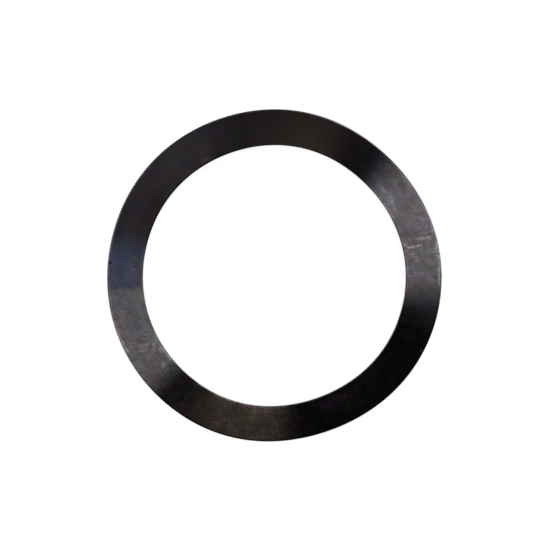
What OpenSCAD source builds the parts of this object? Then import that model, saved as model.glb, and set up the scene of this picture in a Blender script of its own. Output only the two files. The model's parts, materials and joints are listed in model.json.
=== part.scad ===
// Wave washer of a bicycle's bottom bracket.
// A flat ring punched from thin spring steel and then pressed into even waves, so that
// it takes up the play on the spindle as it is squeezed flat.
// The ring's middle is the origin: +Z runs along the spindle, z = 0 lies halfway up the
// free washer, and the first crest lies on +X. The side that the punch entered is up.

/* [Ring] */
// Diameter of the hole, a loose fit on a 30 mm spindle
bore_d = 30.2; // [28:0.1:32]
// Diameter over the rim
rim_d = 38.5; // [36.5:0.1:42]
// Thickness of the spring sheet
thickness = 0.5; // [0.4:0.05:0.8]

/* [Waves] */
// Waves round the ring
waves = 3; // [3:1:5]
// Height of the free washer, from under its troughs to the top of its crests
free_height = 3.8; // [2:0.1:4.5]

/* [Edges] */
// Width of the rounding that the punch draws on the upper edges
roll_width = 0.15; // [0.1:0.05:0.3]
// Depth of that rounding at the wall
roll_depth = 0.07; // [0.04:0.01:0.1]
// Width of the break that tumbling leaves on the lower edges
break_width = 0.04; // [0.02:0.01:0.06]

/* [Smoothness] */
// Stations round the ring, a section of the sheet at each
stations = 144; // [96:12:180]
// Steps across each rounded edge
roll_steps = 5; // [3:1:8]

/* [Hidden] */

bore_r = bore_d / 2;
rim_r = rim_d / 2;
blackened_steel = [0.17, 0.16, 0.17];

// The crests and the troughs touch their neighbours where the flat of the sheet ends
crest_r = rim_r - roll_width;
trough_r = rim_r - break_width;
// Height of the wave for each millimetre out from the axis, at a crest
rise = (free_height - thickness) / (crest_r + trough_r);

// The sheet is drawn this far past both walls, and then cut round
spare = 0.05;
// How far round a quarter circle each rounded edge turns before it meets the wall
roll_turn = 60;
// Fineness of the two round walls
wall_facets = 180;

// Each line of the sheet from the hole to the rim is straight and points at the origin,
// so that the flat ring bends into the waves with no stretch.
function slope(turn) = rise * cos(waves * turn);
function slope_change(turn) = -waves * rise * sin(waves * turn);

function unit(v) = v / norm(v);

// Upward normal of the sheet all along the line at this turn
function normal(turn) = unit([
    slope_change(turn) * sin(turn) - slope(turn) * cos(turn),
    -slope_change(turn) * cos(turn) - slope(turn) * sin(turn),
    1
]);

// Point of the washer at a radius and a height off the middle of the sheet
function sheet_point(turn, radius, height) =
    radius * [cos(turn), sin(turn), slope(turn)] + height * normal(turn);

// Rounded upper edge, as [distance in from the wall, height], from the flat to the wall
edge_roll = [
    for (step = [0 : roll_steps])
        let (a = roll_turn * step / roll_steps)
            [
                roll_width * (1 - sin(a) / sin(roll_turn)),
                thickness / 2 - roll_depth * (1 - cos(a)) / (1 - cos(roll_turn))
            ]
];
// Slope of the rounded edge where it meets the wall
roll_end_slope = roll_depth * sin(roll_turn) / (1 - cos(roll_turn)) * tan(roll_turn) / roll_width;

// One edge of the sheet from the upper flat over the wall to the lower flat
edge = concat(
    edge_roll,
    [
        [-spare, thickness / 2 - roll_depth - spare * roll_end_slope],
        [-spare, break_width - thickness / 2 + spare],
        [break_width, -thickness / 2]
    ]
);

// Section of the sheet as [radius, height], out along the bottom and back along the top
section = concat(
    [for (p = edge) [bore_r + p[0], p[1]]],
    [for (i = [len(edge) - 1 : -1 : 0]) [rim_r - edge[i][0], edge[i][1]]]
);

// A closed tube through the same section at every station
module waved_sheet() {
    corners = len(section);
    points = [
        for (station = [0 : stations - 1], p = section)
            sheet_point(360 * station / stations, p[0], p[1])
    ];
    faces = [
        for (station = [0 : stations - 1], corner = [0 : corners - 1])
            let (
                here = station * corners,
                next = ((station + 1) % stations) * corners,
                after = (corner + 1) % corners
            )
                [here + corner, next + corner, next + after, here + after]
    ];
    polyhedron(points, faces);
}

module wave_washer() {
    color(blackened_steel)
        difference() {
            intersection() {
                waved_sheet();
                cylinder(h = 2 * free_height, r = rim_r, center = true, $fn = wall_facets);
            }
            cylinder(h = 3 * free_height, r = bore_r, center = true, $fn = wall_facets);
        }
}

wave_washer();
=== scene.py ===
"""Blackened wave washer of a bottom bracket, lying on a white table between two soft lamps.

Lengths are in metres unless a name says mm. The washer's own frame: +Z along the spindle and
up from the table, z = 0 halfway up the free washer, the first crest on +X. The picture's frame
is the same one turned by PICTURE_TURN, with x to the right of the photograph and y up it.
"""
import json
import math

import bpy
from mathutils import Matrix, Vector


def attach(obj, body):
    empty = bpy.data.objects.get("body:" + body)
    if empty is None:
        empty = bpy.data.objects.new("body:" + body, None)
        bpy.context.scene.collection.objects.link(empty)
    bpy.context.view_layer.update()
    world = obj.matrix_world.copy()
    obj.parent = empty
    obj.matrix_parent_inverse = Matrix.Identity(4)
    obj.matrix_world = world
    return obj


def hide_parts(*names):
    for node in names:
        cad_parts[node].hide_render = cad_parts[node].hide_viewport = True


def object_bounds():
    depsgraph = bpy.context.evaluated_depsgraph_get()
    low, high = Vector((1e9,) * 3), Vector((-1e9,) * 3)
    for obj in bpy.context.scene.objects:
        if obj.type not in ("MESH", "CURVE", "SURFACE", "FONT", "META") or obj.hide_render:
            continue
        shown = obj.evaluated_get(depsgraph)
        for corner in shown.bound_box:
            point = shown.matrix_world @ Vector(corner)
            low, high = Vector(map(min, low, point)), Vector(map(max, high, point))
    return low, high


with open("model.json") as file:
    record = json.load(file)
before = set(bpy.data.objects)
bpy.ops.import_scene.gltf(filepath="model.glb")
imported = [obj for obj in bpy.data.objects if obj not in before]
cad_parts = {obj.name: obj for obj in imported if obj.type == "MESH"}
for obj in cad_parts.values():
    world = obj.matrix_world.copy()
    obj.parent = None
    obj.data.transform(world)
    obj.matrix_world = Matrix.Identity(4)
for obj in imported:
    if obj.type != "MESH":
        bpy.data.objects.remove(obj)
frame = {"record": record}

NODE = "wave_washer"
FINISH = "blackened_steel"
MM = 0.001

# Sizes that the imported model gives
cad_low, cad_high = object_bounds()
mounts = {m["name"]: m for m in frame["record"]["mounts"]}
BORE_R = mounts["spindle_hole"]["dims"]["r_mm"] * MM
RIM_R = cad_high.x
MIDDLE_R = (BORE_R + RIM_R) / 2
TABLE_Z = cad_low.z

# Sizes of the sheet and its edges, as the part's source has them
WAVES = 3
THICKNESS = 0.5 * MM
ROLL_WIDTH = 0.15 * MM
ROLL_DEPTH = 0.07 * MM
BREAK_WIDTH = 0.04 * MM
ROLL_TURN = math.radians(60)
# The corner under the rounding is eased by this much, so that it catches the light softly
EASE = 0.15 * BREAK_WIDTH

# How fine the shown washer is
STATIONS = 1080
FLAT_STEPS = 12
ROLL_STEPS = 9
BREAK_STEPS = 4

# Small faults of the real washer: the punch's rounding comes and goes, the ring is sprung
# slightly out of round along the picture's x, and the rim has one nick
ROLL_WANDER = 0.02 * MM
WANDER_SCALE = 260.0
OUT_OF_ROUND = 0.00215
NICK = (-18.97 * MM, 1.47 * MM)
NICK_R = 0.2 * MM
NICK_DEPTH = 0.1 * MM
# The share of the nick's radius that is pressed down fully
NICK_FLOOR = 0.2

# The photograph: the washer lies turned, and the camera is a little to its upper left
PICTURE_TURN = math.radians(12.63)
PICTURE_PX = 550
CENTRE_PX = (274.18, 276.12)
PX_PER_MM = 8.692
CAMERA_SLANT = (-0.0519, 0.0249)
CAMERA_DISTANCE = 0.3041
SENSOR = 36.0
NEAREST_SEEN = 0.01
FARTHEST_SEEN = 10.0


# Nodes

# How much each finer size of an even noise swings beside the size before it
EVENNESS = 0.95


def feed(tree, socket, value):
    """Link a socket to the input, or write a plain value on it."""
    if isinstance(value, bpy.types.NodeSocket):
        tree.links.new(value, socket)
    else:
        socket.default_value = value


def node(tree, kind, inputs=None, **settings):
    """A node with its settings, and its inputs by name or number."""
    made = tree.nodes.new(kind)
    for name, value in settings.items():
        setattr(made, name, value)
    for name, value in (inputs or {}).items():
        feed(tree, made.inputs[name], value)
    return made


def math_of(tree, operation, *values):
    """A Math node on sockets or plain numbers."""
    return node(tree, "ShaderNodeMath", dict(enumerate(values)), operation=operation).outputs[0]


def ramp(tree, value, low, high, out_low=0.0, out_high=1.0):
    """Smoothly from out_low, where the value is low, to out_high."""
    made = node(tree, "ShaderNodeMapRange", dict(enumerate((value, low, high, out_low, out_high))),
                interpolation_type="SMOOTHSTEP", clamp=False)
    return made.outputs["Result"]


def blend(tree, share, below, above):
    """One colour over another, by a share from 0 to 1."""
    made = node(tree, "ShaderNodeMix", {0: share, 6: below, 7: above}, data_type="RGBA")
    return made.outputs[2]


def noise(tree, place, scale, detail=2.0):
    """Noise round 0.5."""
    made = node(tree, "ShaderNodeTexNoise", {"Vector": place, "Scale": scale, "Detail": detail})
    return made.outputs[0]


def even_noise(tree, place, scale, detail):
    """Noise round 0 that swings nearly alike at every size down to the finest."""
    made = node(tree, "ShaderNodeTexNoise",
                {"Vector": place, "Scale": scale, "Detail": detail, "Roughness": EVENNESS},
                normalize=False)
    return made.outputs[0]


def colour_noise(tree, place, scale, detail):
    """Three noises round 0, as the parts of a colour."""
    made = node(tree, "ShaderNodeTexNoise", {"Vector": place, "Scale": scale, "Detail": detail})
    return node(tree, "ShaderNodeVectorMath", {0: made.outputs["Color"], 1: (0.5, 0.5, 0.5)},
                operation="SUBTRACT").outputs[0]


def joined(tree, value):
    """One number as all three parts of a colour."""
    return node(tree, "ShaderNodeCombineXYZ", {"X": value, "Y": value, "Z": value}).outputs[0]


def moved(tree, place, kind="POINT", **inputs):
    """The place through a Mapping node."""
    return node(tree, "ShaderNodeMapping", {"Vector": place, **inputs}, vector_type=kind).outputs[0]


# The washer

def edge_points():
    """One edge of the sheet, from the upper flat over the wall to the lower flat.

    Each point is how far in from the wall it lies, and its height off the middle of the sheet.
    """
    top = THICKNESS / 2
    roll = []
    for step in range(ROLL_STEPS + 1):
        a = ROLL_TURN * step / ROLL_STEPS
        inward = ROLL_WIDTH * (1 - math.sin(a) / math.sin(ROLL_TURN))
        drop = ROLL_DEPTH * (1 - math.cos(a)) / (1 - math.cos(ROLL_TURN))
        roll.append((inward, top - drop))
    roll[-1] = (EASE / 2, top - ROLL_DEPTH + EASE / 2)
    roll.append((0.0, top - ROLL_DEPTH - EASE))
    worn = []
    for step in range(BREAK_STEPS + 1):
        a = math.pi / 2 * step / BREAK_STEPS
        worn.append((BREAK_WIDTH * (1 - math.cos(a)), -top + BREAK_WIDTH * (1 - math.sin(a))))
    return roll + worn


def flat_radii(start, end):
    """Radii across a flat of the sheet, closer together near its two ends."""
    shares = [(1 - math.cos(math.pi * i / FLAT_STEPS)) / 2 for i in range(1, FLAT_STEPS)]
    return [start + (end - start) * share for share in shares]


def sheet_section():
    """The sheet's section as radius and height, once round it, from the hole's upper edge."""
    edge = edge_points()
    top = THICKNESS / 2
    inner = [(BORE_R + inward, height) for inward, height in edge]
    outer = [(RIM_R - inward, height) for inward, height in reversed(edge)]
    lower = [(radius, -top) for radius in flat_radii(inner[-1][0], outer[0][0])]
    upper = [(radius, top) for radius in flat_radii(outer[-1][0], inner[0][0])]
    return inner + lower + outer + upper


def wave_rise():
    """Height of the wave at a crest for each metre out from the axis, so that it just fits the box."""
    level = (cad_high.z - cad_low.z - THICKNESS) / (2 * RIM_R)
    upright = math.hypot(1, level)
    limits = []
    for radius, height in sheet_section():
        limits.append((cad_high.z - height * upright) / radius)
        limits.append((height * upright - cad_low.z) / radius)
    return min(limits)


def press_tree(finish):
    """The tree that sweeps the sheet's section round into a flat ring and presses the waves in."""
    tree = bpy.data.node_groups.new("punch and press", "GeometryNodeTree")
    sizes = {}
    for name, kind in (
        ("Section", "Geometry"), ("Stations", "Int"), ("Waves", "Float"), ("Middle radius", "Float"),
        ("Half width", "Float"), ("Rise", "Float"), ("Roll width", "Float"), ("Roll wander", "Float"),
        ("Wander scale", "Float"), ("Out of round", "Float"), ("Long way", "Float"),
        ("Nick", "Vector"), ("Nick radius", "Float"), ("Nick depth", "Float"),
    ):
        made = tree.interface.new_socket(name=name, in_out="INPUT", socket_type="NodeSocket" + kind)
        sizes[name] = made.identifier
    tree.interface.new_socket(name="Washer", in_out="OUTPUT", socket_type="NodeSocketGeometry")
    given = tree.nodes.new("NodeGroupInput").outputs

    def of(operation, *values):
        return math_of(tree, operation, *values)

    # The section is carried once round the ring
    profile = node(tree, "GeometryNodeMeshToCurve", {"Mesh": given["Section"]})
    path = node(tree, "GeometryNodeCurvePrimitiveCircle",
                {"Resolution": given["Stations"], "Radius": given["Middle radius"]})
    ring = node(tree, "GeometryNodeCurveToMesh",
                {"Curve": path.outputs["Curve"], "Profile Curve": profile.outputs["Curve"]})
    place = node(tree, "GeometryNodeInputPosition").outputs[0]
    x, y, height = node(tree, "ShaderNodeSeparateXYZ", {"Vector": place}).outputs
    radius = of("SQRT", of("ADD", of("MULTIPLY", x, x), of("MULTIPLY", y, y)))
    turn = of("ARCTAN2", y, x)

    # The rounding of the upper edges wanders a little in depth
    off_middle = of("ABSOLUTE", of("SUBTRACT", radius, given["Middle radius"]))
    from_wall = of("SUBTRACT", given["Half width"], off_middle)
    near_wall = ramp(tree, of("DIVIDE", from_wall, given["Roll width"]), 1.0, 0.0)
    upper = of("GREATER_THAN", height, 0.0)
    level = node(tree, "ShaderNodeCombineXYZ", {"X": x, "Y": y}).outputs[0]
    swing = noise(tree, level, given["Wander scale"])
    wander = of("MULTIPLY", of("MULTIPLY", swing, given["Roll wander"]), near_wall)

    # The nick presses the edge down where something hard struck it
    from_nick = node(tree, "ShaderNodeVectorMath", {0: level, 1: given["Nick"]}, operation="DISTANCE")
    struck = ramp(tree, of("DIVIDE", from_nick.outputs["Value"], given["Nick radius"]), 1.0, NICK_FLOOR)
    dent = of("MULTIPLY", struck, given["Nick depth"])
    sunk = of("SUBTRACT", height, of("MULTIPLY", of("ADD", wander, dent), upper))

    # Each line from the hole to the rim stays straight and points at the origin
    phase = of("MULTIPLY", turn, given["Waves"])
    slope = of("MULTIPLY", given["Rise"], of("COSINE", phase))
    change = of("MULTIPLY", of("MULTIPLY", given["Rise"], given["Waves"]), of("SINE", phase))
    slope_squared = of("MULTIPLY", slope, slope)
    # A tilted sheet is thicker when it is measured upright, and reaches less far out
    lean = of("ADD", slope_squared, of("MULTIPLY", change, change))
    upright = of("SQRT", of("ADD", lean, 1.0))
    pressed = of("ADD", of("MULTIPLY", radius, slope), of("MULTIPLY", sunk, upright))
    twice = of("MULTIPLY", of("SUBTRACT", turn, given["Long way"]), 2.0)
    squeeze = of("MULTIPLY", given["Out of round"], of("SUBTRACT", of("COSINE", twice), 1.0))
    reach = of("ADD", of("SUBTRACT", 1.0, of("MULTIPLY", slope_squared, 0.5)), squeeze)
    waved = node(tree, "ShaderNodeCombineXYZ",
                 {"X": of("MULTIPLY", x, reach), "Y": of("MULTIPLY", y, reach), "Z": pressed})

    # The finish follows the sheet as it lay flat
    marked = node(tree, "GeometryNodeStoreNamedAttribute",
                  {"Geometry": ring.outputs["Mesh"], "Name": "flat_place", "Value": place},
                  data_type="FLOAT_VECTOR", domain="POINT")
    bent = node(tree, "GeometryNodeSetPosition",
                {"Geometry": marked.outputs["Geometry"], "Position": waved.outputs[0]})
    smooth = node(tree, "GeometryNodeSetShadeSmooth", {"Geometry": bent.outputs["Geometry"]})
    real = node(tree, "GeometryNodeRealizeInstances", {"Geometry": smooth.outputs["Geometry"]})
    coloured = node(tree, "GeometryNodeSetMaterial",
                    {"Geometry": real.outputs["Geometry"], "Material": finish})
    out = tree.nodes.new("NodeGroupOutput")
    tree.links.new(coloured.outputs["Geometry"], out.inputs["Washer"])
    return tree, sizes


def make_washer(finish):
    """The shown washer: its section as a loop of edges, swept and pressed, then made plain."""
    # A profile's y points down on a circle that runs this way
    points = [(radius - MIDDLE_R, -height, 0.0) for radius, height in reversed(sheet_section())]
    loop = bpy.data.meshes.new("sheet section")
    loop.from_pydata(points, [(i, (i + 1) % len(points)) for i in range(len(points))], [])
    blank = bpy.data.objects.new("sheet section", loop)
    bpy.context.scene.collection.objects.link(blank)

    tree, sizes = press_tree(finish)
    press = blank.modifiers.new("punch and press", "NODES")
    press.node_group = tree
    nick_turn = Matrix.Rotation(PICTURE_TURN, 3, "Z")
    for name, value in {
        "Stations": STATIONS,
        "Waves": float(WAVES),
        "Middle radius": MIDDLE_R,
        "Half width": (RIM_R - BORE_R) / 2,
        "Rise": wave_rise(),
        "Roll width": ROLL_WIDTH,
        "Roll wander": ROLL_WANDER,
        "Wander scale": WANDER_SCALE,
        "Out of round": OUT_OF_ROUND,
        "Long way": PICTURE_TURN,
        "Nick": nick_turn @ Vector((*NICK, 0)),
        "Nick radius": NICK_R,
        "Nick depth": NICK_DEPTH,
    }.items():
        press[sizes[name]] = value

    graph = bpy.context.evaluated_depsgraph_get()
    mesh = bpy.data.meshes.new_from_object(blank.evaluated_get(graph), depsgraph=graph)
    bpy.data.objects.remove(blank)
    mesh.name = "washer"
    washer = bpy.data.objects.new("washer", mesh)
    bpy.context.scene.collection.objects.link(washer)
    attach(washer, "root")
    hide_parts(NODE)
    return washer


# The finish

OXIDE = (0.084, 0.074, 0.084)
# The noises of the finish: how many swings each has to the mm, and how many finer sizes it holds
MOTTLE_NOISE = (0.55, 3.0)
FLECK_NOISE = (4.5, 1.0)
GRAIN_NOISE = (0.8, 3.0)
TEMPER_NOISE = (0.5, 2.0)
FRAY_NOISE = (1.6, 3.0)
WEAR_AND_LIGHT_NOISE = (1.1, 3.0)
# How the rolling's grain is squeezed along x and across it, to run the one way and the other
GRAIN_SQUEEZE = (0.35, 2.4, 1.0)
CROSS_SQUEEZE = (2.4, 0.5, 1.0)
# How strongly the oxide's light swings with each noise, and its colour
MOTTLE = 0.17
FLECKS = 0.25
GRAIN = 0.09
CROSS_GRAIN = 0.06
SCUFFS = 0.26
TEMPER = (0.5, 0.36, 0.5)
TEMPER_PLACE = (5.5, -27.9, 7.7)
# The ring is rubbed least towards its upper left: from where to where that way, in mm from the
# middle, and how many times stronger the light's swings, or the temper colours, are at each
UNRUBBED_WAY = (math.cos(math.radians(112)), math.sin(math.radians(112)))
RUBBED = (-14.0, 12.0, 2.45, 0.6)
TEMPERED = (3.0, 11.0, 0.8, 1.35)
# The scuffs at the right and at the lower left: the way they run, in degrees, how long, wide and
# deep their noise is drawn, the way they lie from the middle, and how far out they begin, in mm
SCUFF_WAY = -52
SCUFF_SIZE = (3.4, 0.7, 1.0)
SCUFFED = (math.cos(math.radians(28)), math.sin(math.radians(28)))
SCUFFED_FROM = (14.0, 17.0)
# A place at the lower right where the oxide is even: where it is in the photograph's pixels, how
# far it reaches, in mm, and how strongly the light swings there
CALM = (423.0, 299.0)
CALM_REACH = (1.2, 4.0)
CALM_SWING = 0.4
# Places where the oil is wiped off, as the marks below, with the share of the film that is left
WIPED = (
    (414.0, 321.0, 46.0, 17.0, -20, 0.2),
    (188.0, 391.5, 34.0, 14.0, 54, 0.45),
)
# The steel under the film: how rough it is, how far that swings with the mottling and its least,
# how high the mottling stands, and the share of the grain in that
ROUGHNESS = 0.08
ROUGHNESS_SWING = 0.015
LEAST_ROUGHNESS = 0.05
BUMP = 0.0008 * MM
GRAIN_RELIEF = 0.3
# The film of oil
FILM_ROUGHNESS = 0.03
OIL_IOR = 1.5
# Marks on the upper side, as the photograph shows them, among them painted glints and painted shade:
# how they shift the colour, then where they are in its pixels, half their length and width in pixels,
# the way they run in degrees, and how many times lighter they are than the oxide round them
PALE = (1.0, 1.0, 1.0)
BLUE = (0.96, 1.0, 1.07)
WARM = (1.06, 1.02, 0.88)
PINK = (1.06, 0.95, 1.0)
PURPLE = (0.98, 0.93, 1.1)
STEEL = (0.9, 1.0, 1.25)
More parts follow.
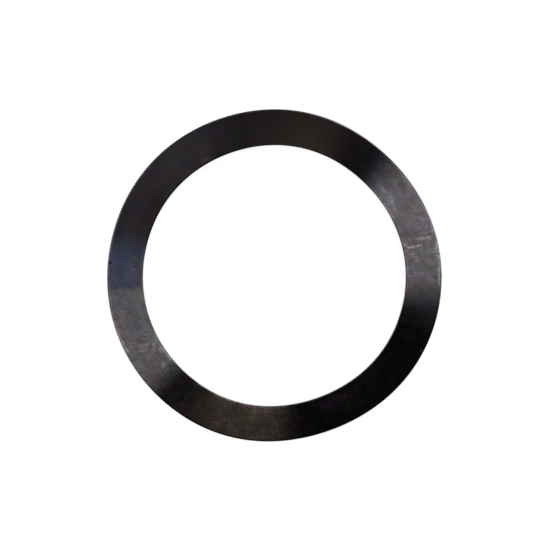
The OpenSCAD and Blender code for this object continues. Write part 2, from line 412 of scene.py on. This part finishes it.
# A hue for bare steel, also given to the painted glints along the rim
BARE_STEEL_AND_GLINT = (1.0, 1.035, 0.965)
HUES = (PALE, BLUE, WARM, PINK, PURPLE, STEEL, BARE_STEEL_AND_GLINT)
MARKS = {
    # Soft rubbed patches
    "smudges": (
        (PALE, 388.0, 198.0, 24.0, 8.0, -53, 1.28),
        (BARE_STEEL_AND_GLINT, 426.0, 238.4, 10.0, 4.0, 2, 1.18),
        (PALE, 383.5, 189.5, 9.0, 3.0, -48, 1.9),
        (PALE, 387.5, 194.0, 6.0, 2.4, -52, 1.3),
        (PALE, 392.0, 196.5, 7.0, 3.2, -62, 1.55),
        (BLUE, 391.0, 201.5, 8.0, 4.4, -56, 1.6),
        (PALE, 395.6, 210.0, 8.0, 3.4, -58, 1.65),
        (BLUE, 379.0, 184.5, 10.0, 5.0, -44, 1.45),
        (PALE, 393.0, 216.0, 6.0, 2.6, -62, 1.6),
        (PALE, 400.0, 214.0, 4.5, 2.4, -60, 1.3),
        (PALE, 404.0, 179.0, 6.0, 3.0, -48, 1.7),
        (PALE, 411.0, 189.0, 7.0, 2.0, -52, 1.4),
        (PALE, 418.0, 201.0, 8.0, 2.0, -58, 1.35),
        (PINK, 397.0, 172.0, 6.0, 4.0, -50, 0.72),
        (PALE, 418.0, 212.0, 12.0, 7.0, -65, 1.42),
        (PINK, 422.0, 219.0, 4.5, 3.4, -60, 1.4),
        (PALE, 428.0, 214.0, 7.0, 2.4, -68, 1.3),
        (PALE, 404.0, 230.0, 12.0, 7.0, -60, 0.72),
        (PALE, 430.0, 277.5, 13.0, 11.0, 90, 1.32),
        (PALE, 421.0, 260.0, 8.0, 6.0, 80, 1.1),
        (WARM, 130.0, 347.0, 12.0, 9.0, -60, 1.45),
        (PALE, 141.0, 345.6, 14.0, 2.8, 6, 1.65),
        (PALE, 146.4, 344.4, 6.5, 3.0, 12, 2.0),
        (PALE, 154.3, 345.0, 2.6, 6.5, -8, 2.3),
        (PALE, 159.6, 350.0, 6.5, 2.4, -58, 2.0),
        (PALE, 162.4, 348.6, 7.5, 2.8, -55, 2.2),
        (PALE, 149.0, 340.0, 20.0, 9.0, -55, 1.3),
        (WARM, 152.5, 353.5, 6.0, 5.0, 40, 1.4),
        (WARM, 135.0, 362.0, 8.0, 5.0, -50, 1.12),
        (WARM, 170.0, 358.5, 6.0, 3.0, -48, 1.45),
        (PALE, 163.7, 365.3, 5.4, 4.0, 50, 2.9),
        (PALE, 169.0, 359.6, 2.2, 4.6, -35, 1.6),
        (BLUE, 167.0, 370.0, 6.0, 4.0, 60, 1.5),
        (PINK, 131.2, 348.6, 3.0, 2.6, 0, 1.6),
        (PALE, 133.0, 339.0, 16.0, 7.0, -62, 1.4),
        (PALE, 141.0, 303.0, 14.0, 5.0, 78, 1.3),
        (PINK, 205.0, 160.3, 8.5, 3.6, 28, 2.1),
        (WARM, 240.0, 408.0, 5.0, 3.4, 0, 1.4),
        (PALE, 268.0, 409.0, 28.0, 8.0, 2, 1.85),
        (BLUE, 331.0, 401.0, 24.0, 9.0, 25, 3.0),
        (BLUE, 353.0, 388.0, 22.0, 9.0, 36, 2.0),
        (BLUE, 347.0, 403.0, 20.0, 9.0, 33, 1.8),
        (PALE, 288.0, 413.0, 9.0, 6.0, 5, 1.3),
        (PURPLE, 385.0, 357.0, 14.0, 6.0, 54, 1.8),
        (PINK, 224.0, 125.0, 16.0, 7.0, 20, 1.3),
        (PALE, 145.0, 348.6, 11.0, 5.5, 5, 1.5),
        (BLUE, 391.5, 196.0, 6.5, 4.0, -55, 1.35),
        (PALE, 385.0, 192.0, 4.5, 3.0, -50, 1.2),
        (BLUE, 334.0, 410.0, 9.0, 6.0, 25, 1.8),
        (PINK, 216.0, 134.0, 9.0, 6.0, 25, 1.4),
        (PALE, 122.0, 292.0, 7.0, 5.0, -80, 1.32),
        (PALE, 425.5, 223.0, 8.0, 5.0, -65, 1.5),
        (WARM, 264.0, 417.5, 9.0, 5.0, 0, 1.5),
        (WARM, 242.0, 409.0, 9.0, 5.0, -20, 1.35),
        (PALE, 362.0, 402.0, 9.0, 5.0, 35, 2.2),
        (BLUE, 366.0, 376.0, 9.0, 4.5, 40, 2.2),
    ),
    # Scratches and chips with clean edges, and painted glints: highlights along the rim drawn as
    # lighter colour
    "scratches_and_glints": (
        (BARE_STEEL_AND_GLINT, 426.2, 236.9, 9.0, 2.3, 2, 1.65),
        (BARE_STEEL_AND_GLINT, 429.0, 238.9, 5.0, 1.3, -2, 1.3),
        (BARE_STEEL_AND_GLINT, 420.0, 238.7, 7.0, 1.9, 4, 2.1),
        (PALE, 424.6, 233.1, 6.5, 1.3, -2, 1.75),
        (PALE, 405.4, 244.8, 5.6, 1.4, -32, 2.15),
        (BARE_STEEL_AND_GLINT, 411.6, 247.1, 5.8, 1.9, 8, 3.3),
        (BARE_STEEL_AND_GLINT, 418.8, 245.4, 5.8, 1.5, 14, 2.5),
        (PALE, 411.6, 254.2, 3.8, 1.1, 2, 1.5),
        # Painted glints from here to the comb of short bars: the highlight on the right rim, drawn as
        # lighter colour
        (BARE_STEEL_AND_GLINT, 434.8, 248.4, 3.0, 2.2, 40, 1.75),
        (BARE_STEEL_AND_GLINT, 436.8, 245.0, 1.6, 5.0, 10, 1.7),
        (PALE, 437.0, 255.5, 3.2, 1.0, 0, 1.8),
        (PALE, 436.6, 252.0, 2.6, 0.9, 0, 1.6),
        (BARE_STEEL_AND_GLINT, 438.6, 261.0, 7.0, 1.1, 95, 1.25),
        (BARE_STEEL_AND_GLINT, 439.6, 277.0, 12.0, 1.2, 91, 4.2),
        (PALE, 436.6, 270.4, 3.0, 0.8, 0, 1.4),
        (PALE, 436.8, 281.4, 3.0, 0.8, 0, 1.4),
        (PALE, 431.8, 231.0, 3.0, 1.2, -10, 1.5),
        (PALE, 413.0, 205.5, 9.0, 0.9, -47, 1.2),
        (PALE, 399.0, 217.0, 8.0, 0.9, -62, 1.2),
        (PALE, 409.0, 224.0, 8.0, 0.8, 30, 1.14),
        (BLUE, 431.0, 259.3, 1.5, 1.4, 0, 1.9),
        (PALE, 430.0, 278.0, 9.0, 0.8, 2, 1.35),
        (PALE, 431.0, 283.5, 8.0, 0.7, 2, 1.25),
        (PALE, 424.0, 272.5, 10.0, 0.7, 1, 1.15),
        (PALE, 411.5, 276.6, 5.0, 0.6, 0, 1.15),
        (PALE, 411.5, 279.4, 5.0, 0.6, 1, 1.1),
        (PALE, 412.5, 274.2, 5.0, 0.6, 0, 0.8),
        (PALE, 144.2, 320.5, 6.0, 1.1, -68, 1.4),
        (PALE, 147.3, 328.8, 4.6, 1.1, -45, 1.35),
        (PALE, 151.5, 334.0, 5.0, 1.1, -65, 1.35),
        (PALE, 149.2, 331.0, 8.0, 0.9, 88, 1.25),
        (PALE, 141.0, 312.0, 7.0, 0.9, 80, 1.2),
        (PINK, 139.4, 351.3, 3.8, 1.0, 3, 1.7),
        # Painted glints: the highlight along the rim at the lower left, drawn as lighter colour
        (BARE_STEEL_AND_GLINT, 119.6, 334.0, 6.0, 1.4, -69, 1.55),
        (BARE_STEEL_AND_GLINT, 123.4, 342.4, 5.0, 1.6, -64, 2.5),
        (BARE_STEEL_AND_GLINT, 127.0, 349.0, 5.0, 1.9, -60, 3.0),
        (WARM, 129.8, 352.8, 6.0, 3.0, -58, 1.75),
        (BARE_STEEL_AND_GLINT, 116.4, 325.0, 5.0, 1.1, -72, 1.25),
        (PALE, 133.8, 269.9, 2.0, 1.8, 0, 2.3),
        (PALE, 128.2, 272.6, 4.6, 1.0, 12, 1.5),
        (BLUE, 135.3, 286.0, 3.0, 0.8, 90, 1.35),
        (PALE, 134.0, 233.0, 3.4, 0.8, 60, 1.4),
        (BLUE, 115.7, 248.7, 3.4, 0.9, 88, 1.4),
        (BLUE, 113.3, 262.7, 2.6, 0.9, 88, 1.4),
        (PALE, 422.2, 351.2, 2.0, 1.5, 0, 12.0),
    ),
    # Thicker, darker oxide, and some painted shade and painted reflection
    "spots_and_shade": (
        (PURPLE, 410.5, 261.0, 5.0, 2.4, 88, 0.6),
        (PURPLE, 411.8, 271.5, 6.0, 3.6, 90, 0.6),
        (PURPLE, 402.0, 188.0, 10.0, 4.5, -60, 0.68),
        (PALE, 409.0, 207.0, 11.0, 4.4, -58, 0.76),
        # Painted shade: the nick in the rim, darkened
        (PINK, 110.3, 263.3, 2.0, 1.7, 0, 0.2),
        (BLUE, 120.0, 278.0, 9.0, 1.2, -8, 0.8),
        # Painted shade: darkens the ring at the right where the soft box's reflection fades out
        (PALE, 413.6, 320.2, 44.0, 14.0, -18, 0.45),
        (PURPLE, 240.0, 144.0, 12.0, 5.0, 15, 0.8),
        (PALE, 145.0, 203.0, 34.0, 24.0, 58, 0.72),
        (PALE, 161.0, 196.0, 30.0, 8.0, 58, 0.72),
        (PALE, 139.0, 268.0, 20.0, 8.0, 88, 0.78),
        # Painted reflection: a warmer, lighter rounded rim at the left
        (WARM, 112.0, 262.0, 30.0, 7.0, 86, 1.25),
        (PALE, 157.0, 350.3, 3.6, 2.6, 40, 0.66),
        (PALE, 150.0, 348.5, 1.8, 3.4, 0, 0.7),
        (PALE, 152.0, 367.5, 13.0, 6.0, -42, 0.7),
        (PALE, 144.0, 371.0, 16.0, 8.0, -45, 0.74),
        (PALE, 119.0, 300.0, 14.0, 6.0, -80, 0.86),
        (PALE, 238.0, 415.0, 26.0, 16.0, -5, 0.86),
        (PALE, 252.0, 428.0, 34.0, 9.0, -3, 0.8),
        (PALE, 147.0, 181.0, 16.0, 6.0, 48, 0.82),
        (PALE, 360.0, 160.0, 8.0, 8.0, -40, 0.82),
        (PALE, 411.0, 304.0, 10.0, 9.0, -80, 0.82),
        (PALE, 182.0, 378.0, 10.0, 7.0, -45, 0.75),
        (BARE_STEEL_AND_GLINT, 169.0, 377.5, 15.0, 10.0, -45, 0.66),
        (PALE, 396.5, 190.0, 5.0, 3.2, -55, 0.76),
        # Painted shade: narrows the painted highlight on the right rim
        (WARM, 437.3, 260.5, 8.0, 2.0, 93, 0.74),
        (PALE, 412.5, 228.0, 8.0, 5.0, -60, 0.72),
        (PALE, 413.5, 250.5, 10.0, 3.2, 2, 0.68),
        (PALE, 211.0, 414.0, 10.0, 7.0, -25, 0.66),
        (PALE, 252.0, 422.5, 8.0, 4.5, 0, 0.74),
        (PALE, 160.0, 378.5, 10.0, 6.0, -25, 0.56),
        (PALE, 391.0, 173.0, 15.0, 8.0, -58, 0.7),
        (PALE, 190.0, 386.0, 8.0, 6.0, -50, 0.5),
        (PALE, 132.0, 338.0, 7.0, 4.5, -62, 0.72),
        (PALE, 384.5, 177.0, 5.0, 4.0, -50, 0.76),
        (PALE, 384.0, 379.0, 9.0, 7.0, 42, 0.4),
        (PALE, 150.5, 362.0, 6.5, 4.5, -50, 0.76),
    ),
    # Faint temper colours
    "tints": (
        (PURPLE, 425.0, 303.0, 9.0, 13.0, 90, 0.94),
        (WARM, 424.0, 288.0, 6.0, 13.0, 90, 0.93),
        (WARM, 435.0, 272.0, 15.0, 5.0, 92, 0.96),
        (BLUE, 418.0, 262.0, 14.0, 12.0, 90, 0.97),
        (STEEL, 374.0, 166.0, 15.0, 24.0, -42, 1.1),
        (STEEL, 378.0, 156.0, 7.0, 6.0, -45, 1.2),
        (STEEL, 133.0, 246.0, 12.0, 9.0, 75, 1.1),
        (STEEL, 392.0, 194.0, 20.0, 12.0, -52, 1.03),
        (STEEL, 421.0, 309.0, 13.0, 24.0, -20, 1.045),
        (STEEL, 411.0, 304.0, 10.0, 9.0, -16, 1.07),
        (WARM, 118.0, 330.0, 34.0, 12.0, -64, 0.96),
        (WARM, 150.0, 352.0, 24.0, 18.0, -50, 0.96),
        (WARM, 194.0, 402.0, 26.0, 20.0, -35, 0.88),
        (WARM, 188.0, 390.0, 26.0, 12.0, 54, 0.88),
        (WARM, 345.0, 150.0, 20.0, 24.0, -30, 0.96),
        (PURPLE, 145.8, 363.3, 6.0, 6.0, 0, 0.95),
        (PURPLE, 157.0, 368.0, 6.0, 5.0, -40, 0.92),
        (PURPLE, 140.0, 371.0, 6.0, 4.0, -50, 0.92),
        (WARM, 152.0, 378.0, 12.0, 6.0, -45, 0.85),
        (PURPLE, 118.0, 226.0, 38.0, 13.0, 70, 0.72),
        (PINK, 148.0, 222.0, 36.0, 14.0, 62, 0.7),
        (PINK, 173.0, 174.0, 6.0, 5.0, 45, 1.05),
        (WARM, 176.0, 397.0, 16.0, 20.0, 45, 0.82),
        (PINK, 258.0, 433.0, 9.0, 3.4, 0, 0.97),
        (PURPLE, 275.0, 430.0, 5.0, 5.0, 0, 1.15),
        (PURPLE, 243.0, 421.0, 5.0, 5.0, 0, 1.0),
    ),
}
# A mark reaches this far through the sheet, in mm, and fades out this near the sheet's middle
MARK_DEPTH = 1000.0
UPPER_FADE = 0.05
# Marks and arcs that lie over each other leave at least this share of the light
DARKEST = 0.1
# How sharply each kind ends, as the share of its half width at which it begins to fade, how far
# the oxide's grain frays it, in mm, and how fully its hue comes with its lightness
MARK_EDGES = {
    "smudges": (0.0, 0.14, 2.5),
    "scratches_and_glints": (0.3, 0.07, 2.0),
    "spots_and_shade": (0.1, 0.2, 2.5),
    "tints": (0.1, 0.25, 12.0),
}

# Arcs of the two rounded edges that are made lighter or darker: partly wear, mostly painted highlights
# and painted shade where the edges mirror bright or dark parts of the studio. From and to, in degrees
# round the picture, and how many times lighter they are
RIM_ARCS = ((-4, 44, 2.1), (57, 98, 1.45), (157.5, 213, 2.1), (215, 224, 0.6), (226, 244, 0.3),
            (244, 276, 0.55), (280, 346, 0.3))
HOLE_ARCS = ((-6, 10, 1.4), (26, 42, 1.7), (66, 98, 0.75), (120, 168, 0.75), (204, 222, 1.9),
             (226, 234, 0.3), (242, 277, 1.7), (280, 312, 0.9), (312, 349, 0.2))
# Half the length over which an arc fades, in degrees, and how far in from the wall the edge's wear and
# painted light begin and are full, in mm
ARC_FADE = 1.0
EDGE_BEGINS = 0.36
EDGE_FULL = 0.12


def wave_height(x, y):
    """How high the sheet's middle stands over a place of the picture, both in mm."""
    turn = math.atan2(y, x) + PICTURE_TURN
    return math.hypot(x, y) * wave_rise() * math.cos(WAVES * turn)


def sheet_place(px, py):
    """The place on the flat sheet, in mm, that the photograph shows at this pixel."""
    x = (px - CENTRE_PX[0]) / PX_PER_MM
    y = (CENTRE_PX[1] - py) / PX_PER_MM
    height = wave_height(x, y) + THICKNESS / MM / 2
    nearer = 1 + height * MM / CAMERA_DISTANCE
    x = (x + CAMERA_SLANT[0] * height) / nearer
    y = (y + CAMERA_SLANT[1] * height) / nearer
    # The waves draw the ring in a little, and it is sprung out of round
    slope = wave_height(x, y) / math.hypot(x, y)
    squeeze = OUT_OF_ROUND * (math.cos(2 * math.atan2(y, x)) - 1)
    reach = 1 - slope * slope / 2 + squeeze
    return x / reach, y / reach


def mark(tree, place, x, y, half_long, half_wide, way, lighter, full):
    """How much one mark adds at a place, from 0 outside it."""
    centre = sheet_place(x, y)
    sizes = (half_long / PX_PER_MM, half_wide / PX_PER_MM, MARK_DEPTH)
    turned = (0, 0, math.radians(way))
    own = moved(tree, place, "TEXTURE", Location=(*centre, 0), Rotation=turned, Scale=sizes)
    near = node(tree, "ShaderNodeTexGradient", {"Vector": own}, gradient_type="SPHERICAL")
    return ramp(tree, near.outputs["Fac"], 0.0, 1 - full, 0.0, lighter - 1)


def arcs(tree, turn, table):
    """How many times lighter a rounded edge is, by the way round the ring in degrees."""
    total = 1.0
    for start, end, lighter in table:
        off = math_of(tree, "ABSOLUTE", math_of(
            tree, "WRAP", math_of(tree, "SUBTRACT", turn, (start + end) / 2), 180.0, -180.0))
        half = (end - start) / 2
        share = ramp(tree, off, half - ARC_FADE, half + ARC_FADE, lighter - 1, 0.0)
        total = math_of(tree, "ADD", total, share)
    return total


def scaled(tree, colour, factor):
    """A colour times a number or another colour."""
    return node(tree, "ShaderNodeVectorMath", {0: colour, 1: factor}, operation="MULTIPLY").outputs[0]


def make_blackened_steel():
    """Black oxide on rolled spring steel under a thin film of oil, with the marks of its use, and
    painted highlights and painted shade on its edges and in places.
    """
    finish = bpy.data.materials.new(FINISH)
    finish.use_nodes = True
    tree = finish.node_tree
    tree.nodes.clear()

    def of(operation, *values):
        return math_of(tree, operation, *values)

    flat = node(tree, "ShaderNodeAttribute", attribute_name="flat_place").outputs["Vector"]
    # In mm, with x to the right of the photograph, which is the way the sheet was rolled
    rolled = moved(tree, flat, Rotation=(0, 0, -PICTURE_TURN), Scale=(1 / MM,) * 3)
    x, y, height = node(tree, "ShaderNodeSeparateXYZ", {"Vector": rolled}).outputs
    radius = of("SQRT", of("ADD", of("MULTIPLY", x, x), of("MULTIPLY", y, y)))
    turn = of("MULTIPLY", of("ARCTAN2", y, x), 180 / math.pi)

    upper_left = of("ADD", of("MULTIPLY", x, UNRUBBED_WAY[0]), of("MULTIPLY", y, UNRUBBED_WAY[1]))
    rubbed = ramp(tree, upper_left, *RUBBED)

    # The oxide is mottled alike at every size, with the rolling's grain along x and across it
    mottle = even_noise(tree, rolled, *MOTTLE_NOISE)
    flecks = even_noise(tree, rolled, *FLECK_NOISE)
    grain = even_noise(tree, moved(tree, rolled, Scale=GRAIN_SQUEEZE), *GRAIN_NOISE)
    cross = even_noise(tree, moved(tree, rolled, Scale=CROSS_SQUEEZE), *GRAIN_NOISE)
    swing = of("MULTIPLY", mottle, MOTTLE)
    for part, share in ((flecks, FLECKS), (grain, GRAIN), (cross, CROSS_GRAIN)):
        swing = of("MULTIPLY_ADD", part, share, swing)
    along = moved(tree, rolled, "TEXTURE", Rotation=(0, 0, math.radians(SCUFF_WAY)), Scale=SCUFF_SIZE)
    scuffs = even_noise(tree, along, *GRAIN_NOISE)
    across = of("ABSOLUTE", of("ADD", of("MULTIPLY", x, SCUFFED[0]), of("MULTIPLY", y, SCUFFED[1])))
    scuffed = of("MULTIPLY", scuffs, ramp(tree, across, *SCUFFED_FROM, 0.0, SCUFFS))
    calm_place = (*sheet_place(*CALM), 0)
    from_calm = node(tree, "ShaderNodeVectorMath", {0: rolled, 1: calm_place}, operation="DISTANCE")
    calm = ramp(tree, from_calm.outputs["Value"], *CALM_REACH, CALM_SWING, 1.0)
    light = of("EXPONENT", of("MULTIPLY", of("MULTIPLY_ADD", swing, rubbed, scuffed), calm))

    # Temper colours wander over it
    elsewhere = moved(tree, rolled, Location=TEMPER_PLACE)
    hues = colour_noise(tree, elsewhere, *TEMPER_NOISE)
    spread = ramp(tree, upper_left, *TEMPERED)
    strength = scaled(tree, joined(tree, spread), TEMPER)
    tint = node(tree, "ShaderNodeVectorMath", {0: hues, 1: strength, 2: (1, 1, 1)},
                operation="MULTIPLY_ADD").outputs[0]
    colour = scaled(tree, scaled(tree, tint, OXIDE), joined(tree, light))

    # The marks, on the upper side only; among them painted glints and painted shade
    above = ramp(tree, height, -UPPER_FADE, UPPER_FADE)
    fray = colour_noise(tree, rolled, *FRAY_NOISE)
    for kind, marks in MARKS.items():
        full, frayed, tinge = MARK_EDGES[kind]
        place = node(tree, "ShaderNodeVectorMath", {0: fray, 1: (2 * frayed,) * 3, 2: rolled},
                     operation="MULTIPLY_ADD").outputs[0]
        for hue in HUES:
            total = None
            for mark_hue, *sizes in marks:
                if mark_hue == hue:
                    one = mark(tree, place, *sizes, full)
                    total = one if total is None else of("ADD", total, one)
            if total is None:
                continue
            shift = of("MULTIPLY", total, above)
            lighter = of("MAXIMUM", of("ADD", shift, 1.0), DARKEST)
            colour = scaled(tree, colour, joined(tree, lighter))
            share = of("MINIMUM", of("MULTIPLY", of("ABSOLUTE", shift), tinge), 1.0)
            colour = node(tree, "ShaderNodeMix", {0: share, 4: colour, 5: scaled(tree, colour, hue)},
                          data_type="VECTOR").outputs[1]

    # The two rounded edges: painted highlights and painted shade by the way round, with some wear,
    # broken up by a noise
    wear_and_light_noise = of("ADD", noise(tree, rolled, *WEAR_AND_LIGHT_NOISE), 0.5)
    for wall, inward, table in ((RIM_R, -1, RIM_ARCS), (BORE_R, 1, HOLE_ARCS)):
        begins = wall / MM + inward * EDGE_BEGINS
        full = wall / MM + inward * EDGE_FULL
        edge_wear_and_painted_light = of("MULTIPLY", ramp(tree, radius, begins, full), wear_and_light_noise)
        change = of("MULTIPLY", of("SUBTRACT", arcs(tree, turn, table), 1.0), edge_wear_and_painted_light)
        lighter = of("MAXIMUM", of("ADD", change, 1.0), DARKEST)
        colour = scaled(tree, colour, joined(tree, lighter))

    film = 1.0
    for wiped in WIPED:
        film = of("ADD", film, mark(tree, rolled, *wiped, 0.0))
    rough = of("MAXIMUM", of("MULTIPLY_ADD", mottle, ROUGHNESS_SWING, ROUGHNESS), LEAST_ROUGHNESS)
    relief = of("MULTIPLY_ADD", grain, GRAIN_RELIEF, mottle)
    bump = node(tree, "ShaderNodeBump", {"Strength": 1.0, "Distance": BUMP, "Height": relief})
    steel = node(tree, "ShaderNodeBsdfPrincipled", {
        "Base Color": colour, "Metallic": 1.0, "Roughness": rough, "Normal": bump.outputs[0],
        "Coat Weight": film, "Coat Roughness": FILM_ROUGHNESS, "Coat IOR": OIL_IOR})
    out = node(tree, "ShaderNodeOutputMaterial")
    tree.links.new(steel.outputs[0], out.inputs["Surface"])
    return finish


# The studio

# Over the washer hangs a wide ceiling. Places on it are slants: how far sideways from the washer,
# in the picture's frame, for each metre up.
CEILING_HEIGHT = 0.35
CEILING_HALF = 1.6
CEILING = (0.194, 0.18, 0.192)
# Each patch of the ceiling: its colour, and the soft straight edges that bound it, as a point on
# the edge, the way in degrees that the patch lies from there, and half the width of the fade
PATCHES = (
    # a warm board at the right
    ((0.449, 0.379, 0.279), ((0.327, 0.0, 0, 0.157),)),
    # the dark gap between that board and the soft box
    ((0.0615, 0.0533, 0.0567), ((0.4, -0.095, 92.6, 0.14),)),
    # the soft box, and its dimmer left end
    ((0.95, 0.95, 0.95), ((0.017, 0.179, 124.3, 0.186),)),
    ((0.76, 0.76, 0.76), ((0.017, 0.179, 124.3, 0.186), (-0.12, 0.4, 180, 0.06))),
    # a sharp-edged card in front of the soft box's left end, and a blue card beyond it
    (CEILING, ((-0.183, 0.0, 180, 0.01), (-0.2, 0.382, -90, 0.016))),
    ((0.28, 0.372, 0.564), ((-0.183, 0.0, 180, 0.01), (-0.2, 0.382, -90, 0.016),
                            (-0.2, 0.056, 90, 0.132))),
    # a black card beside the camera
    ((0.025, 0.0205, 0.0235), ((-0.0686, -0.1363, -45, 0.02), (0.1057, -0.13, -79, 0.035),
                             (0.598, -0.3, 237, 0.156))),
)
# Beyond these slants, from a place a little to the right, come the low sides with two soft lamps
SIDES_CENTRE = (0.05, 0.0)
SIDES = (0.64, 0.72)
LAMPS_FROM = (0.74, 0.84)
SIDE = (0.13, 0.123, 0.13, 1)
# The lamps, as patches are
LAMPS = (
    ((1.3, 1.27, 1.3), ((0.0, 0.0, 85, 0.03), (0.0, 0.0, -45, 0.06))),
    ((1.1, 1.08, 1.1), ((0.0, 0.0, 256, 0.08), (0.0, 0.0, 130, 0.06))),
)
# The fill light, just under the ceiling
FILL_SIZE = 1.6
FILL_POWER = 4.0
FILL_DROP = 0.005
# The table is flat out to FLOOR_R, and then curves up to the top of its wall
FLAT_RINGS = (0.1, 0.4)
FLOOR_R = 0.9
WALL_R = 1.25
WALL_TOP = 0.28
CURVE_STEPS = 8
TABLE_SIDES = 96
# Its shine carries most of the white, so that the washer's shadow stays faint
SHINE = 0.86
PAPER = (0.25, 0.25, 0.25, 1)
ROOM = (0.25, 0.25, 0.25, 1)


def picture_object(name, data):
    """A thing of the studio, placed as the picture's frame lies over the washer."""
    made = bpy.data.objects.new(name, data)
    made.rotation_euler.z = PICTURE_TURN
    bpy.context.scene.collection.objects.link(made)
    return made


def glowing(name):
    """An empty material, its tree and its output."""
    made = bpy.data.materials.new(name)
    made.use_nodes = True
    made.node_tree.nodes.clear()
    return made, made.node_tree, node(made.node_tree, "ShaderNodeOutputMaterial").inputs["Surface"]


def make_ceiling():
    """The ceiling that the washer mirrors, and the lamps at its sides."""
    cloth, tree, surface = glowing("ceiling_cloth")
    place = node(tree, "ShaderNodeTexCoord").outputs["Object"]
    slant = moved(tree, place, Scale=(1 / CEILING_HEIGHT,) * 3)
    x, y, _ = node(tree, "ShaderNodeSeparateXYZ", {"Vector": slant}).outputs

    def share_of(edges):
        """How fully a place lies within these edges, from 0 to 1."""
        share = 1.0
        for edge_x, edge_y, facing, soft in edges:
            a = math.radians(facing)
            across = math_of(tree, "ADD", math_of(tree, "MULTIPLY", x, math.cos(a)),
                             math_of(tree, "MULTIPLY", y, math.sin(a)))
            start = edge_x * math.cos(a) + edge_y * math.sin(a)
            share = math_of(tree, "MULTIPLY", share, ramp(tree, across, start - soft, start + soft))
        return share

    colour = (*CEILING, 1)
    for patch, edges in PATCHES:
        colour = blend(tree, share_of(edges), colour, (*patch, 1))
    from_centre = node(tree, "ShaderNodeVectorMath", {0: slant, 1: (*SIDES_CENTRE, 0.0)},
                       operation="DISTANCE")
    off = from_centre.outputs["Value"]
    side = SIDE
    for lamp, edges in LAMPS:
        share = math_of(tree, "MULTIPLY", share_of(edges), ramp(tree, off, *LAMPS_FROM))
        side = blend(tree, share, side, (*lamp, 1))
    colour = blend(tree, ramp(tree, off, *SIDES), colour, side)
    tree.links.new(node(tree, "ShaderNodeEmission", {"Color": colour}).outputs[0], surface)

    mesh = bpy.data.meshes.new("ceiling")
    h = CEILING_HALF
    mesh.from_pydata([(-h, -h, 0), (h, -h, 0), (h, h, 0), (-h, h, 0)], [], [(3, 2, 1, 0)])
    mesh.materials.append(cloth)
    picture_object("ceiling", mesh).location.z = CEILING_HEIGHT


def make_fill():
    """An even soft light for matt things, which the steel doesn't mirror."""
    light = bpy.data.lights.new("fill", "AREA")
    light.shape = "DISK"
    light.size = FILL_SIZE
    light.energy = FILL_POWER
    fill = picture_object("fill", light)
    fill.location.z = CEILING_HEIGHT - FILL_DROP
    fill.visible_glossy = False
    fill.visible_camera = False


def make_table():
    """A round white table that curves up into a low white wall all round."""
    rings = [(radius, 0.0) for radius in (*FLAT_RINGS, FLOOR_R)]
    for step in range(1, CURVE_STEPS + 1):
        a = math.pi / 2 * step / CURVE_STEPS
        rings.append((FLOOR_R + (WALL_R - FLOOR_R) * math.sin(a), WALL_TOP * (1 - math.cos(a))))
    points = [(0, 0, 0)]
    for radius, height in rings:
        for side in range(TABLE_SIDES):
            a = math.tau * side / TABLE_SIDES
            points.append((radius * math.cos(a), radius * math.sin(a), height))
    faces = [(0, 1 + side, 1 + (side + 1) % TABLE_SIDES) for side in range(TABLE_SIDES)]
    for ring in range(len(rings) - 1):
        low = 1 + ring * TABLE_SIDES
        high = low + TABLE_SIDES
        for side in range(TABLE_SIDES):
            after = (side + 1) % TABLE_SIDES
            faces.append((low + side, high + side, high + after, low + after))
    mesh = bpy.data.meshes.new("white table")
    mesh.from_pydata(points, [], faces)
    for face in mesh.polygons:
        face.use_smooth = True

    paper, tree, surface = glowing("white_paper")
    rays = node(tree, "ShaderNodeLightPath").outputs
    seen = math_of(tree, "MAXIMUM", rays["Is Camera Ray"],
                   math_of(tree, "MAXIMUM", rays["Is Glossy Ray"], rays["Is Transmission Ray"]))
    shine = node(tree, "ShaderNodeEmission", {"Strength": math_of(tree, "MULTIPLY", seen, SHINE)})
    matt = node(tree, "ShaderNodeBsdfDiffuse", {"Color": PAPER})
    both = node(tree, "ShaderNodeAddShader", {0: shine.outputs[0], 1: matt.outputs[0]})
    tree.links.new(both.outputs[0], surface)
    mesh.materials.append(paper)
    picture_object("white_table", mesh).location.z = TABLE_Z


def make_world():
    """The even grey of the room beyond the studio."""
    world = bpy.data.worlds.new("studio")
    bpy.context.scene.world = world
    world.use_nodes = True
    world.node_tree.nodes["Background"].inputs["Color"].default_value = ROOM


def make_camera():
    """Nearly straight above, at the distance and the slant that the washer's outline shows."""
    away = Vector((*CAMERA_SLANT, 1)).normalized()
    right = (Vector((1, 0, 0)) - away * away.x).normalized()
    up = away.cross(right)
    off_centre = (PICTURE_PX / 2 - CENTRE_PX[0], CENTRE_PX[1] - PICTURE_PX / 2)
    mm_off = [px / PX_PER_MM * MM for px in off_centre]
    place = away * CAMERA_DISTANCE + right * mm_off[0] + up * mm_off[1]
    lens = bpy.data.cameras.new("camera")
    lens.sensor_width = SENSOR
    lens.lens = SENSOR * CAMERA_DISTANCE / (PICTURE_PX / PX_PER_MM * MM)
    lens.clip_start = NEAREST_SEEN
    lens.clip_end = FARTHEST_SEEN
    camera = bpy.data.objects.new("camera", lens)
    turn = Matrix.Rotation(PICTURE_TURN, 4, "Z")
    pose = Matrix((right, up, away)).transposed().to_4x4()
    camera.matrix_world = turn @ Matrix.Translation(place) @ pose
    bpy.context.scene.collection.objects.link(camera)
    bpy.context.scene.camera = camera


make_washer(make_blackened_steel())
make_ceiling()
make_fill()
make_table()
make_world()
make_camera()
bpy.context.scene.view_settings.view_transform = "Standard"
